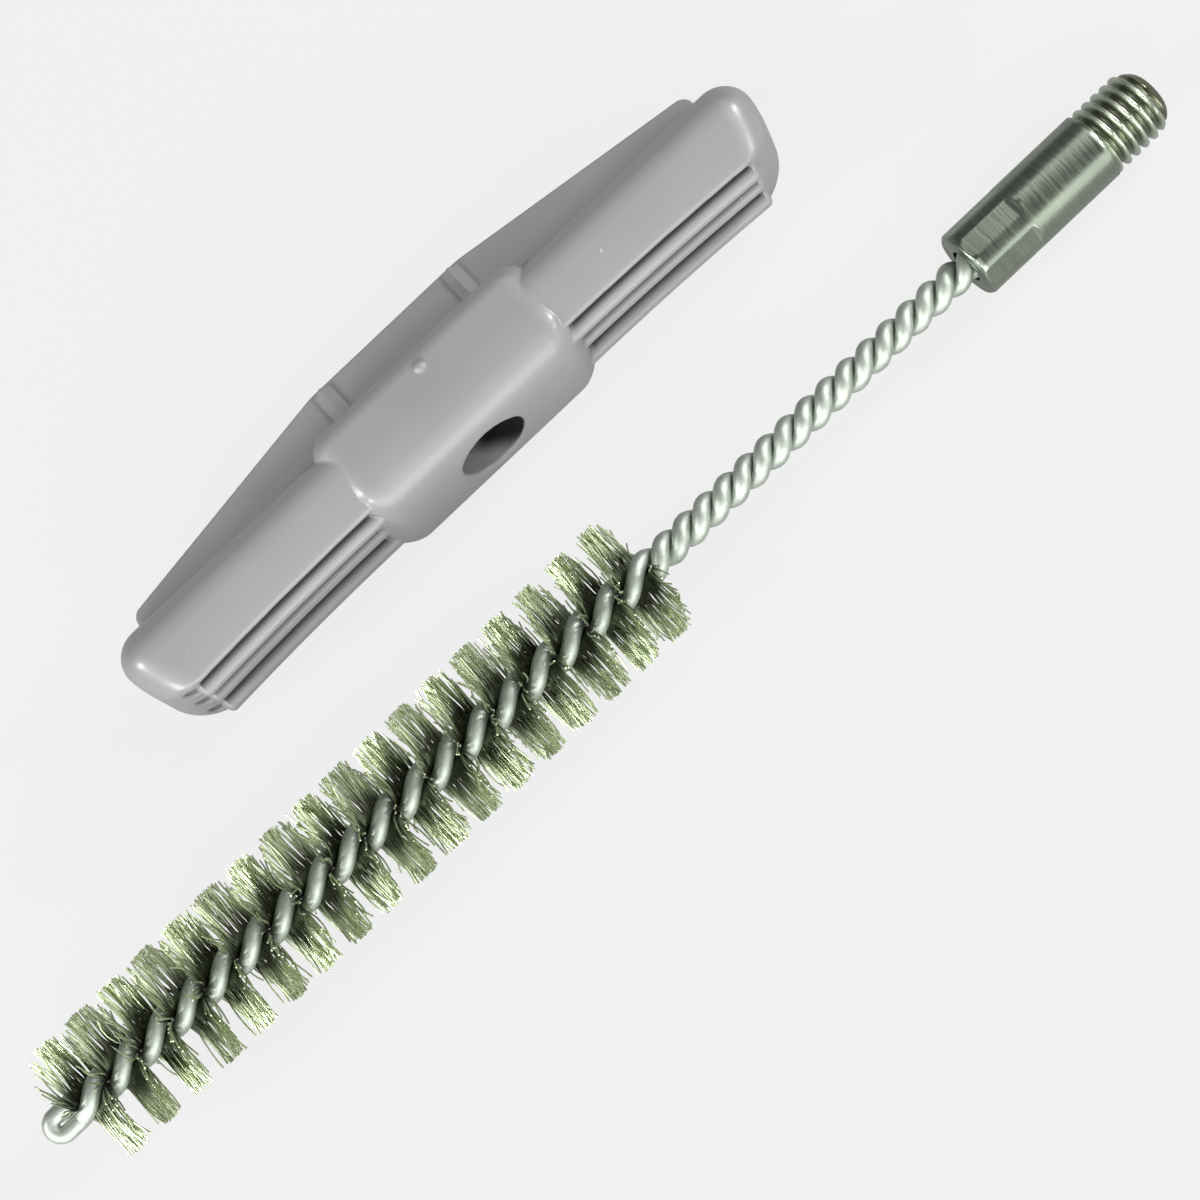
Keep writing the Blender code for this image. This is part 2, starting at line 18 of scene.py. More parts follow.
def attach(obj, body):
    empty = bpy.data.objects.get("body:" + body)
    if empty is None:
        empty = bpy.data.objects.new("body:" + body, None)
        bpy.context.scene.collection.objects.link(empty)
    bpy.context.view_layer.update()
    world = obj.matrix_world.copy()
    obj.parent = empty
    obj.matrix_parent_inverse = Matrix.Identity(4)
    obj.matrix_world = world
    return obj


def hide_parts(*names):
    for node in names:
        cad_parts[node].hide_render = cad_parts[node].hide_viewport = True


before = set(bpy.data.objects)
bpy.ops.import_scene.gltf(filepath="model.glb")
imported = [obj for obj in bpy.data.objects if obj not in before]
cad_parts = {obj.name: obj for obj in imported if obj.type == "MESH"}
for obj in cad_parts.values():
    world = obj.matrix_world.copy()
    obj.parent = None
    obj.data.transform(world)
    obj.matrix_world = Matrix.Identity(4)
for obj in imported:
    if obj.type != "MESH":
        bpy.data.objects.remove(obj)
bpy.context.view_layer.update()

MM = 0.001

# Handle hub, in the handle's own axes: the mouth is at y = 0 and z = 0 is the middle plane
MOUTH_Y = -8.05 * MM
HUB_LENGTH = 30.0 * MM
HUB_DEPTH = 12.1 * MM
HUB_THICKNESS = 15.4 * MM
HUB_FACE_HEIGHT = 12.6 * MM
HUB_NOSE_LENGTH = 6.2 * MM
HUB_BACK_ROUND = 2.6 * MM
HUB_END_ROUND = 3.4 * MM
HUB_EAR_ROUND = 3.2 * MM
HUB_EAR_Y = 10.3 * MM
HUB_CREST_Y = 3.0 * MM
HUB_CREST_RADIUS = 6.0 * MM
HUB_WAIST = 0.15 * MM
HUB_MOUTH_REACH = 1.3 * MM
HUB_NOSE_REACH = 3.4 * MM
HUB_REACH = 0.1 * MM

# Socket
SOCKET_RADIUS = 4.1 * MM
SOCKET_FLOOR = 2.1 * MM
SOCKET_CHAMFER = 0.3 * MM
SOCKET_PLAIN_LENGTH = 3.2 * MM
SOCKET_THREAD_DEPTH = 0.35 * MM
SOCKET_EDGE_REACH = 0.25 * MM

# Painted shade inside the socket, starting deeper in on its left side, and painted shade in the
# grooves between the ribs
SOCKET_SHADE_START = 0.2 * MM
SOCKET_SHADE_FULL = 3.3 * MM
SOCKET_SHADE_LEAN = 0.85
RIB_SHADE_START = 1.15 * MM
RIB_SHADE_FULL = 2.2 * MM
RIB_SHADE_SHARE = 0.92
RIB_SHADE_END_MARGIN = 5.4 * MM
RIB_SHADE_END_FADE = 0.1 * MM
RIB_SHADE_ROOF_MARGIN = 0.25 * MM
RIB_SHADE_ROOF_FADE = 0.3 * MM

# Gate mark on top of the hub
GATE_Y = 9.2 * MM
GATE_RADIUS = 0.7 * MM
GATE_HEIGHT = 0.4 * MM
GATE_REACH = 0.12 * MM

# Handle arms
HANDLE_LENGTH = 88.1 * MM
ARM_THICKNESS = 15.6 * MM
ARM_BACK = 11.25 * MM
ARM_BACK_ROUND = 5.2 * MM
ARM_SHOULDER_Y = 6.0 * MM
ARM_SHOULDER_TILT = math.radians(22.0)
ARM_SHOULDER_REACH = 2.0 * MM
ARM_FRONT = 1.9 * MM
ARM_FRONT_REACH = 0.5 * MM
ARM_ROOT_X = 11.0 * MM
ARM_END_ROUND = 3.7 * MM
ARM_END_CREST = 5.9 * MM
ARM_CREST_REACH = 2.4 * MM
ARM_END_SLANT = math.radians(28.0)
FINGER_HOLLOW = 1.1 * MM
ARM_END = HANDLE_LENGTH / 2

# Finger ribs and their pocket
POCKET_HEIGHT = 11.2 * MM
POCKET_DEPTH = 2.6 * MM
POCKET_END_MARGIN = 5.6 * MM
POCKET_ROUND = 0.5 * MM
POCKET_REACH = 0.25 * MM
RIB_COUNT = 3
RIB_WIDTH = 2.2 * MM
RIB_DEPTH = 2.0 * MM
RIB_PITCH = 3.9 * MM
RIB_PROUD = 1.15 * MM
RIB_END_MARGIN = 4.8 * MM
RIB_END_ROUND = 0.9 * MM
RIB_ROOT = 1.2 * MM
RIB_REACH = 0.2 * MM
MIDDLE_RIB_SETBACK = 0.35 * MM
NOTCH_X = -39.5 * MM
NOTCH_Y = 1.5 * MM
NOTCH_REACHES = (1.3 * MM, 1.6 * MM, 0.95 * MM)
NOTCH_SOFT_REACH = 0.3 * MM

# Web and its beads
WEB_THICKNESS = 2.4 * MM
WEB_HUB_RISE = 5.8 * MM
WEB_END_RISE = 2.45 * MM
WEB_FLAT_LENGTH = 20.8 * MM
WEB_END_MARGIN = 4.3 * MM
WEB_END_ROUND = 1.2 * MM
WEB_KNEE_REACH = 0.12 * MM
WEB_EDGE_ROUND = 0.25 * MM
WEB_ROOT = 2.5 * MM
WEB_REACH = 0.35 * MM
WEB_CROWN = HUB_DEPTH + WEB_HUB_RISE
BEAD_WIDTH = 1.95 * MM
BEAD_SPACING = 18.4 * MM
BEAD_SETBACK = 0.35 * MM
BEAD_EDGE_ROUND = 0.15 * MM
BEAD_REACH = 0.2 * MM

# Even skin over the moulded form
SKIN_CELL = 0.2 * MM
SKIN_MARGIN = 0.5 * MM
SETTLE_ROUNDS = 3
SETTLE_STEP = 0.002 * MM

# Brush envelope and where it lies
BRISTLE_RADIUS = 7.3 * MM
BRUSH_LOOP_X = -80.55 * MM
BRUSH_LOOP_SET_OFF = 22.2 * MM
BRUSH_TURN = math.radians(1.0)

# Edges of the brush's pieces that turn by more than this stay crisp
CRISP_EDGE_ANGLE = math.radians(50)

# Folded and twisted wire
WIRE_RADIUS = 0.925 * MM
BRISTLE_BAND = 0.26 * MM
STEM_HALF_TURN = 2.86 * MM
TUFT_HALF_TURN = 4.417 * MM
TUFT_COUNT = 18
TWIST_START = 4.2 * MM
LOOP_BEND_X = 2.3 * MM
BARE_LENGTH = 44.75 * MM
PINCH_LENGTH = 2.5 * MM
STEM_INSERT = 8.0 * MM
FACE_ANGLE = math.radians(-17.7)
WIRE_STEPS_PER_HALF_TURN = 16
WIRE_SIDES = 18
LOOP_STEPS = 14

# Bristle wires
BRISTLE_WIRE_RADIUS = 0.095 * MM
BRISTLES_PER_TUFT = 66
BRISTLE_SIDES = 5
BRISTLE_STEPS = 5
BRISTLE_GRIP_RADIUS = 1.5 * MM
GATHER_SHARE = 0.45
ANGLE_SCATTER = math.radians(5.0)
LEAN_SCATTER = math.radians(3.0)
LENGTH_SCATTER_SHARE = 0.035
BOW_SCATTER = 0.25 * MM

# Threaded connector
CONNECTOR_LENGTH = 26.24 * MM
ROD_RADIUS = 3.97 * MM
THREAD_RADIUS = 3.89 * MM
THREAD_DEPTH = 0.72 * MM
THREAD_PITCH = 1.25 * MM
THREAD_LENGTH = 7.95 * MM
TIP_LENGTH = 1.95 * MM
TIP_FLAT_RADIUS = 2.0 * MM
SHOULDER_ROUND = 0.25 * MM
WIRE_END_CHAMFER = 0.35 * MM
CRIMP_LENGTH = 7.5 * MM
CRIMP_RAMP = 0.38 * MM
CRIMP_FLATS = 6
CRIMP_ACROSS_FLATS = 7.56 * MM
CONNECTOR_BORE = 1.95 * MM
CONNECTOR_SIDES = 144
THREAD_CREST_SHARE = 1 / 8
THREAD_FLANK_SHARE = 5 / 8
STEPS_PER_THREAD_TURN = 14
CHAMFER_STEPS = 6
CRIMP_STEPS = 12
RAMP_STEPS = 14
ROD_STEPS = 20
SHOULDER_STEPS = 5
STATION_GAP = 0.0025 * MM

# Places that follow from the sizes
WIRE_BARE_OFFSET = WIRE_RADIUS
WIRE_TUFT_OFFSET = WIRE_RADIUS + BRISTLE_BAND / 2
TUFT_ZONE_END = TWIST_START + TUFT_COUNT * TUFT_HALF_TURN
CONNECTOR_X = TUFT_ZONE_END + BARE_LENGTH
THREAD_END_X = CONNECTOR_X + CONNECTOR_LENGTH - TIP_LENGTH

# Camera, which looks down on the table from the mouth side
VIEW_TILT = math.radians(17.7)
VIEW_ROLL = math.radians(43.35)
VIEW_DISTANCE = 313.7 * MM
VIEW_CENTRE = Vector((-2.93, -27.86, 7.6)) * MM
LENS = 92.7
SENSOR = 36.0
CLIP_START = 10 * MM

# Tones, in linear red, green and blue; pairs run from the darker to the lighter
PLASTIC_TONES = ((0.25, 0.25, 0.253), (0.29, 0.29, 0.293))
SPECK_TONE = (0.45, 0.45, 0.45)
# Painted shade for the inside of the socket
SOCKET_SHADE_TONE = (0.003, 0.003, 0.003)
# Painted shade for the grooves between the ribs
RIB_SHADE_TONE = (0.02, 0.02, 0.02)
ZINC_TONES = ((0.235, 0.275, 0.222), (0.34, 0.385, 0.31))
# Painted shade in the thread's roots and a painted highlight on its crests
THREAD_SHADE_AND_HIGHLIGHT_TONES = ((0.17, 0.185, 0.125), (0.58, 0.64, 0.53))
WIRE_TONES = ((0.31, 0.35, 0.31), (0.66, 0.72, 0.64))
BRISTLE_TONES = ((0.38, 0.44, 0.265), (0.78, 0.87, 0.60))
# Painted shade at the bristles' roots, fading out between these distances from the stem's axis
BRISTLE_ROOT_SHADE_TONE = (0.04, 0.048, 0.028)
BRISTLE_ROOT_SHADE_SHARE = 0.92
BRISTLE_SHADED_RADIUS = 2.2 * MM
BRISTLE_UNSHADED_RADIUS = 5.4 * MM

# Noise patterns: cells per metre, detail, and roughness where it isn't the usual one
PLASTIC_CLOUD = (90, 3)
PLASTIC_GRAIN = (5200, 2)
PLASTIC_SPECKS = (900, 1)
SPECK_RANGE = (0.79, 0.82)
TURNING_MARKS = (3000, 3, 0.6)
TURNING_MARKS_STRETCH = (1, 0.06, 0.06)
ZINC_CLOUD = (260, 3)
WIRE_CLOUD = (700, 3, 0.6)
WIRE_GRAIN = (4200, 2)
BRISTLE_CLOUD = (1500, 2)

# Surfaces: roughness with what patterns add to it, reflection, and depth of the patterns
PLASTIC_ROUGHNESS = 0.38
PLASTIC_CLOUD_ROUGHNESS = 0.1
# Added roughness where the socket's shade is painted
SOCKET_SHADE_ROUGHNESS = 0.5
PLASTIC_SPECULAR = 0.45
PLASTIC_INDEX = 1.5
PLASTIC_COAT = 0.45
PLASTIC_COAT_ROUGHNESS = 0.23
PLASTIC_PATTERN_DEPTH = 0.004 * MM
PLASTIC_CLOUD_SWELL = 4
ZINC_ROUGHNESS = 0.14
TURNING_MARKS_ROUGHNESS = 0.26
TURNING_MARKS_DEPTH = 0.02 * MM
THREAD_ROUGHNESS = 0.12
THREAD_MARKS_LOSS = 0.75
# Depth below the thread's crest from which its painted highlight is full
THREAD_HIGHLIGHT_DEPTH = 0.4 * THREAD_DEPTH
WIRE_METAL = 0.9
WIRE_ROUGHNESS = 0.42
WIRE_GRAIN_ROUGHNESS = 0.2
WIRE_PATTERN_DEPTH = 0.012 * MM
BRISTLE_ROUGHNESS = 0.38

# Table and world: how bright each is, and how much of it the camera and metal see
TABLE_SIZE = 6.0
TABLE_TONE = (0.3, 0.3, 0.3, 1)
TABLE_ROUGHNESS = 0.9
TABLE_GLOW = (1, 1, 1, 1)
TABLE_GLOW_SEEN = 0.8
TABLE_GLOW_IN_METAL = 0.18
WORLD_FILL = 0.09
WORLD_BACKGROUND = (0.88, 0.88, 0.88, 1)
WORLD_IN_METAL = 0.07

# Lamps: width, height, place and radiance
LAMP_AIM = (0, -15 * MM, 0)
LAMPS = {
    "key": (0.28, 0.3, (-0.1, -0.37, 0.47), 1.3),
    "overhead": (0.6, 0.36, (0.4, 0.12, 0.52), 1.3),
    "front": (0.66, 0.42, (-0.2, -0.58, 0.2), 4.3),
    "front_right": (0.48, 0.42, (0.38, -0.54, 0.2), 1.75),
    "left_end": (0.11, 0.11, (-0.5, 0.05, 0.3), 46.0),
    "left_front": (0.12, 0.12, (-0.46, -0.24, 0.24), 30.0),
    "right_end": (0.11, 0.11, (0.5, 0.02, 0.32), 44.0),
    "right_front": (0.12, 0.12, (0.46, -0.22, 0.32), 18.0),
}


class Value:
    """What a node puts out, wrapped so that numbers can be used in sums."""

    def __init__(self, finish, socket):
        self.finish = finish
        self.socket = socket

    def math(self, operation, *others):
        terms = dict(enumerate([self, *others]))
        return self.finish.node("ShaderNodeMath", {"operation": operation}, terms)

    def __add__(self, other):
        return self.math("ADD", other)

    def __radd__(self, other):
        return self.math("ADD", other)

    def __sub__(self, other):
        return self.math("SUBTRACT", other)

    def __rsub__(self, other):
        return (self * -1).math("ADD", other)

    def __mul__(self, other):
        return self.math("MULTIPLY", other)

    def __rmul__(self, other):
        return self.math("MULTIPLY", other)

    def clamped(self):
        return self.math("MAXIMUM", 0).math("MINIMUM", 1)


class Finish:
    """The shader of a material or a world under construction."""

    def __init__(self, owner):
        owner.use_nodes = True
        self.owner = owner
        self.tree = owner.node_tree

    def set(self, target, values):
        """Give a node's sockets plain values or links."""
        for key, value in values.items():
            if isinstance(value, Value):
                self.tree.links.new(value.socket, target.inputs[key])
            else:
                target.inputs[key].default_value = value

    def node(self, kind, settings=None, values=None, output=0):
        """Add a node: its settings come first, then its sockets. Returns one of its outputs."""
        added = self.tree.nodes.new(kind)
        for key, value in (settings or {}).items():
            setattr(added, key, value)
        self.set(added, values or {})
        return Value(self, added.outputs[output])

    def surface(self, **values):
        """Set the Principled shader's sockets by name, with underscores for spaces."""
        shader = self.tree.nodes["Principled BSDF"]
        self.set(shader, {key.replace("_", " "): value for key, value in values.items()})
        return Value(self, shader.outputs[0])

    def lit_or_background(self, output, seen, in_metal, lit, background):
        """Show a background to the rays that look for it, and a lit shader to all the others."""
        camera, glossy, clear = (self.node("ShaderNodeLightPath", output=f"Is {kind} Ray")
                                 for kind in ("Camera", "Glossy", "Transmission"))
        share = (seen * camera + in_metal * glossy + clear).clamped()
        mixed = self.node("ShaderNodeMixShader", None, {0: share, 1: lit, 2: background})
        self.set(self.tree.nodes[output], {"Surface": mixed})

    def place(self, axes=None):
        """Position on the piece, in the brush's axes where they are given."""
        place = self.node("ShaderNodeTexCoord", output="Object")
        if axes is None:
            return place
        values = {"Vector": place, "Location": axes.translation, "Rotation": axes.to_euler()}
        return self.node("ShaderNodeMapping", {"vector_type": "TEXTURE"}, values)

    def stretched(self, place, scale):
        """Position scaled by a different factor along each axis."""
        return self.node("ShaderNodeVectorMath", {"operation": "MULTIPLY"}, {0: place, 1: scale})

    def axes(self, place):
        """The three coordinates of a position."""
        return [self.node("ShaderNodeSeparateXYZ", None, {0: place}, axis) for axis in range(3)]

    def noise(self, place, cells, detail, roughness=0.5):
        """Cloudy noise from 0 to 1, with cells per metre."""
        values = {"Vector": place, "Scale": cells, "Detail": detail, "Roughness": roughness}
        return self.node("ShaderNodeTexNoise", None, values)

    def between(self, value, low, high):
        """0 below a low value, 1 above a high one, and smooth between."""
        settings = {"interpolation_type": "SMOOTHSTEP"}
        return self.node("ShaderNodeMapRange", settings, {"Value": value, 1: low, 2: high})

    def blend(self, share, first, second):
        """Mix two colours, each of them a link or a plain tone."""
        first, second = (shade if isinstance(shade, Value) else (*shade, 1)
                         for shade in (first, second))
        settings = {"data_type": "RGBA"}
        return self.node("ShaderNodeMix", settings, {0: share, 6: first, 7: second}, 2)

    def bumped(self, height, depth):
        """A normal bent by a height."""
        return self.node("ShaderNodeBump", None, {"Height": height, "Distance": depth})


def socket_shade_share(finish, x, y, height):
    """Where shade is painted in the socket, darker deeper in; the height is above the handle's
    middle plane.
    """
    off_axis = (x * x + height * height).math("SQRT")
    in_socket = 1 - finish.between(off_axis, SOCKET_RADIUS, SOCKET_RADIUS + SOCKET_CHAMFER / 2)
    socket_end = MOUTH_Y + HUB_DEPTH - SOCKET_FLOOR / 2
    before_floor = 1 - finish.between(y, socket_end, MOUTH_Y + HUB_DEPTH)
    # The painted shade grows with depth, starting deeper in on the socket's left side
    deep_shade = finish.between(y + SOCKET_SHADE_LEAN * x, MOUTH_Y + SOCKET_SHADE_START, MOUTH_Y + SOCKET_SHADE_FULL)
    return deep_shade * in_socket * before_floor


def rib_shade_share(finish, x, y, height):
    """Where shade is painted in the pocket between the ribs, away from its roof and its ends."""
    along = x.math("ABSOLUTE")
    outward = ((along - HUB_LENGTH / 2) * (1 / (ARM_END - HUB_LENGTH / 2))).clamped()
    from_front = y + FINGER_HOLLOW * outward * outward
    in_groove = finish.between(from_front, MOUTH_Y + RIB_SHADE_START, MOUTH_Y + RIB_SHADE_FULL)
    pocket_floor = MOUTH_Y + ARM_FRONT + POCKET_DEPTH
    in_groove = in_groove * (1 - finish.between(y, pocket_floor, MOUTH_Y + ARM_SHOULDER_Y))
    in_pocket = finish.between(along, HUB_LENGTH / 2 - HUB_END_ROUND, HUB_LENGTH / 2)
    end = ARM_END - RIB_SHADE_END_MARGIN
    in_pocket = in_pocket * (1 - finish.between(along, end - RIB_SHADE_END_FADE, end))
    roof = POCKET_HEIGHT / 2 - RIB_SHADE_ROOF_MARGIN
    off_middle = height.math("ABSOLUTE")
    in_pocket = in_pocket * (1 - finish.between(off_middle, roof - RIB_SHADE_ROOF_FADE, roof))
    return RIB_SHADE_SHARE * in_groove * in_pocket


def plastic_finish():
    """Satin grey moulded plastic with a faint flow pattern and a few specks.

    It has painted shade inside the socket and in the grooves between the ribs.
    """
    finish = Finish(bpy.data.materials.new("grey_plastic"))
    place = finish.place()
    x, y, z = finish.axes(place)
    height = z - HUB_THICKNESS / 2
    cloud = finish.noise(place, *PLASTIC_CLOUD)
    grain = finish.noise(place, *PLASTIC_GRAIN)
    speck = finish.between(finish.noise(place, *PLASTIC_SPECKS), *SPECK_RANGE)
    socket_shade = socket_shade_share(finish, x, y, height)
    tone = finish.blend(cloud, *PLASTIC_TONES)
    tone = finish.blend(speck, tone, SPECK_TONE)
    # Painted shade: the socket darkened towards its floor, with its coat taken off there
    tone = finish.blend(socket_shade, tone, SOCKET_SHADE_TONE)
    # Painted shade in the grooves between the ribs
    tone = finish.blend(rib_shade_share(finish, x, y, height), tone, RIB_SHADE_TONE)
    roughness = PLASTIC_ROUGHNESS + PLASTIC_CLOUD_ROUGHNESS * cloud + SOCKET_SHADE_ROUGHNESS * socket_shade
    pattern = grain + PLASTIC_CLOUD_SWELL * cloud
    finish.surface(Base_Color=tone, Roughness=roughness, IOR=PLASTIC_INDEX,
                   Specular_IOR_Level=PLASTIC_SPECULAR, Coat_Weight=PLASTIC_COAT * (1 - socket_shade),
                   Coat_Roughness=PLASTIC_COAT_ROUGHNESS,
                   Normal=finish.bumped(pattern, PLASTIC_PATTERN_DEPTH))
    return finish.owner


def connector_finish(axes):
    """Zinc-plated steel with fine turning marks round it; its thread has a painted highlight on the
    crests and painted shade in the roots.
    """
    finish = Finish(bpy.data.materials.new("zinc_steel"))
    place = finish.place(axes)
    x, y, z = finish.axes(place)
    marks = finish.noise(finish.stretched(place, TURNING_MARKS_STRETCH), *TURNING_MARKS)
    cloud = finish.noise(place, *ZINC_CLOUD)
    thread_start = THREAD_END_X + TIP_LENGTH - THREAD_LENGTH
    on_thread = finish.between(x, thread_start - SHOULDER_ROUND, thread_start)
    radius = (y * y + z * z).math("SQRT")
    root = THREAD_RADIUS - THREAD_DEPTH
    crest = finish.between(radius, root, THREAD_RADIUS - THREAD_HIGHLIGHT_DEPTH)
    tone = finish.blend(cloud, *ZINC_TONES)
    # Painted light on the thread: shade in its roots, a highlight on its crests
    tone = finish.blend(on_thread, tone, finish.blend(crest, *THREAD_SHADE_AND_HIGHLIGHT_TONES))
    marks = marks * (1 - THREAD_MARKS_LOSS * on_thread)
    roughness = ZINC_ROUGHNESS + TURNING_MARKS_ROUGHNESS * marks + THREAD_ROUGHNESS * on_thread
    finish.surface(Base_Color=tone, Metallic=1, Roughness=roughness,
                   Normal=finish.bumped(marks, TURNING_MARKS_DEPTH))
    return finish.owner


def wire_finish(axes):
    """Galvanised wire: pale and cloudy, with faint draw marks."""
    finish = Finish(bpy.data.materials.new("galvanised_wire"))
    place = finish.place(axes)
    cloud = finish.noise(place, *WIRE_CLOUD)
    grain = finish.noise(place, *WIRE_GRAIN)
    finish.surface(Base_Color=finish.blend(cloud, *WIRE_TONES), Metallic=WIRE_METAL,
                   Roughness=WIRE_ROUGHNESS + WIRE_GRAIN_ROUGHNESS * grain,
                   Normal=finish.bumped(grain + cloud, WIRE_PATTERN_DEPTH))
    return finish.owner


def bristle_finish(axes):
    """Bristle wires: bright at the cut tips, with painted shade that darkens them towards the
    roots.
    """
    finish = Finish(bpy.data.materials.new("bristle_steel"))
    place = finish.place(axes)
    _, y, z = finish.axes(place)
    radius = (y * y + z * z).math("SQRT")
    root_shade = 1 - finish.between(radius, BRISTLE_SHADED_RADIUS, BRISTLE_UNSHADED_RADIUS)
    cloud = finish.noise(place, *BRISTLE_CLOUD)
    tone = finish.blend(cloud, *BRISTLE_TONES)
    # Painted shade towards the roots
    tone = finish.blend(BRISTLE_ROOT_SHADE_SHARE * root_shade, tone, BRISTLE_ROOT_SHADE_TONE)
    finish.surface(Base_Color=tone, Metallic=1, Roughness=BRISTLE_ROUGHNESS)
    return finish.owner


def add_skin(bm, rings):
    """Skin rings of equally many points and cap both ends."""
    rows = [[bm.verts.new(point) for point in ring] for ring in rings]
    count = len(rows[0])
    for near, far in zip(rows, rows[1:]):
        for i in range(count):
            j = (i + 1) % count
            bm.faces.new((near[i], near[j], far[j], far[i]))
    bm.faces.new(list(reversed(rows[0])))
    bm.faces.new(rows[-1])


def mesh_from(bm, name):
    """Turn a bmesh into a mesh with its faces outwards."""
    bmesh.ops.recalc_face_normals(bm, faces=bm.faces)
    mesh = bpy.data.meshes.new(name)
    bm.to_mesh(mesh)
    bm.free()
    return mesh


def add_object(name, data, matrix=None):
    """Put a mesh, a lamp or a camera in the scene."""
    thing = bpy.data.objects.new(name, data)
    bpy.context.scene.collection.objects.link(thing)
    thing.matrix_world = matrix or Matrix.Identity(4)
    return thing


def soft_most(first, second, reach):
    """The larger of two distances, blended where they differ by less than a reach."""
    near = np.maximum(1 - np.abs(first - second) / reach, 0)
    return np.maximum(first, second) + near * near * reach / 4


def joined(first, second, reach):
    """Distance from two forms made one, with a fillet where they meet."""
    return -soft_most(-first, -second, reach)


def cut_out(form, tool, reach):
    """Distance from a form with a tool cut out of it, and the edge of the cut worn soft."""
    return soft_most(form, -tool, reach)


def rounded(across, along, radius):
    """Distance from two square faces that meet in an outer corner of a radius."""
    across = across + radius
    along = along + radius
    inside = np.minimum(np.maximum(across, along), 0)
    return inside + np.hypot(np.maximum(across, 0), np.maximum(along, 0)) - radius


def finger_swing(x):
    """How far the finger side swings forward at a place along the handle."""
    start = HUB_LENGTH / 2
    share = np.maximum(np.abs(x) - start, 0) / (ARM_END - start)
    return FINGER_HOLLOW * share * share


def arm_form(x, y, z):
    """The crossbar: round at the back, with shoulders that slant down to the finger side.

    Its end faces slant back from a crest and round off.
    """
    swing = finger_swing(x)
    above = np.abs(z) - ARM_THICKNESS / 2
    shoulder = (above * math.cos(ARM_SHOULDER_TILT)
                + (ARM_SHOULDER_Y - swing - y) * math.sin(ARM_SHOULDER_TILT))
    section = soft_most(rounded(y - ARM_BACK, above, ARM_BACK_ROUND), shoulder, ARM_SHOULDER_REACH)
    section = soft_most(section, ARM_FRONT - swing - y, ARM_FRONT_REACH)
    beyond = np.abs(x) - ARM_END
    ahead_of_crest = ARM_BACK - ARM_END_CREST - y
    slanted = beyond * math.cos(ARM_END_SLANT) + ahead_of_crest * math.sin(ARM_END_SLANT)
    return rounded(section, soft_most(beyond, slanted, ARM_CREST_REACH), ARM_END_ROUND)


def pocket_form(x, y, z):
    """The long pocket on the finger side."""
    outline = rounded(np.abs(x) - (ARM_END - POCKET_END_MARGIN), np.abs(z) - POCKET_HEIGHT / 2,
                      POCKET_ROUND)
    return rounded(outline, y - (ARM_FRONT + POCKET_DEPTH), POCKET_ROUND)


def rib_form(x, y, z, off_middle):
    """One finger rib, half oval towards the fingers; the middle one lies a little deeper."""
    setback = 0 if off_middle else MIDDLE_RIB_SETBACK
    half = RIB_WIDTH / 2
    ridge = ARM_FRONT - RIB_PROUD - finger_swing(x) + setback + RIB_DEPTH
    ahead = np.minimum(y - ridge, 0) * half / RIB_DEPTH
    section = np.hypot(ahead, z - off_middle * RIB_PITCH) - half
    section = np.maximum(section, y - (ARM_FRONT + POCKET_DEPTH + RIB_ROOT))
    return rounded(section, np.abs(x) - (ARM_END - RIB_END_MARGIN), RIB_END_ROUND)


def notch_form(x, y, z, off_middle):
    """The small hollow beyond a rib's left end."""
    place = NOTCH_X - x, NOTCH_Y - y, off_middle * RIB_PITCH - z
    squares = sum((along / reach) ** 2 for along, reach in zip(place, NOTCH_REACHES))
    return (np.sqrt(squares) - 1) * min(NOTCH_REACHES)


def hub_form(x, y, z):
    """The hub: flat top and bottom, rounded back, and a nose that curves down to the mouth face.

    The nose runs softly into the mouth face on top. The ends are cushions, bowed in plan, with a
    slight waist before the square back corners.
    """
    above = np.abs(z) - HUB_THICKNESS / 2
    drop = (HUB_THICKNESS - HUB_FACE_HEIGHT) / 2
    radius = (HUB_NOSE_LENGTH ** 2 + drop ** 2) / (2 * drop)
    nose = np.hypot(np.minimum(y - HUB_NOSE_LENGTH, 0), above + radius) - radius
    section = np.maximum(rounded(y - HUB_DEPTH, above, HUB_BACK_ROUND), nose)
    section = soft_most(section, -y, np.where(z > 0, HUB_NOSE_REACH, HUB_MOUTH_REACH))
    to_ear = np.clip((y - HUB_CREST_Y) / (HUB_EAR_Y - HUB_CREST_Y), 0, 1)
    bow = np.minimum(y - HUB_CREST_Y, 0) ** 2 / (2 * HUB_CREST_RADIUS)
    bow = bow + HUB_WAIST * (1 - np.cos(math.tau * to_ear)) / 2
    radius = HUB_END_ROUND + (HUB_EAR_ROUND - HUB_END_ROUND) * to_ear
    return rounded(section, np.abs(x) - HUB_LENGTH / 2 + bow, radius)


def web_form(x, y, z):
    """The roof-shaped web that stiffens the handle's back."""
    along = np.abs(x)
    end = ARM_END - WEB_END_MARGIN
    knee = WEB_FLAT_LENGTH / 2
    fall = math.atan2(WEB_CROWN - (ARM_BACK + WEB_END_RISE), end - knee)
    slope = (along - knee) * math.sin(fall) + (y - WEB_CROWN) * math.cos(fall)
    outline = rounded(soft_most(y - WEB_CROWN, slope, WEB_KNEE_REACH), along - end, WEB_END_ROUND)
    plate = rounded(outline, np.abs(z) - WEB_THICKNESS / 2, WEB_EDGE_ROUND)
    return np.maximum(plate, ARM_BACK - WEB_ROOT - y)


def bead_form(x, y, z):
    """Roof-shaped beads across the web, one pair on each face."""
    flanks = np.abs(np.abs(x) - BEAD_SPACING / 2) + np.abs(np.abs(z) - WEB_THICKNESS / 2)
    around = (flanks - BEAD_WIDTH / 2) * math.sqrt(0.5)
    ends = np.maximum(y - (WEB_CROWN - BEAD_SETBACK), HUB_DEPTH - HUB_BACK_ROUND - y)
    return rounded(around, ends, BEAD_EDGE_ROUND)


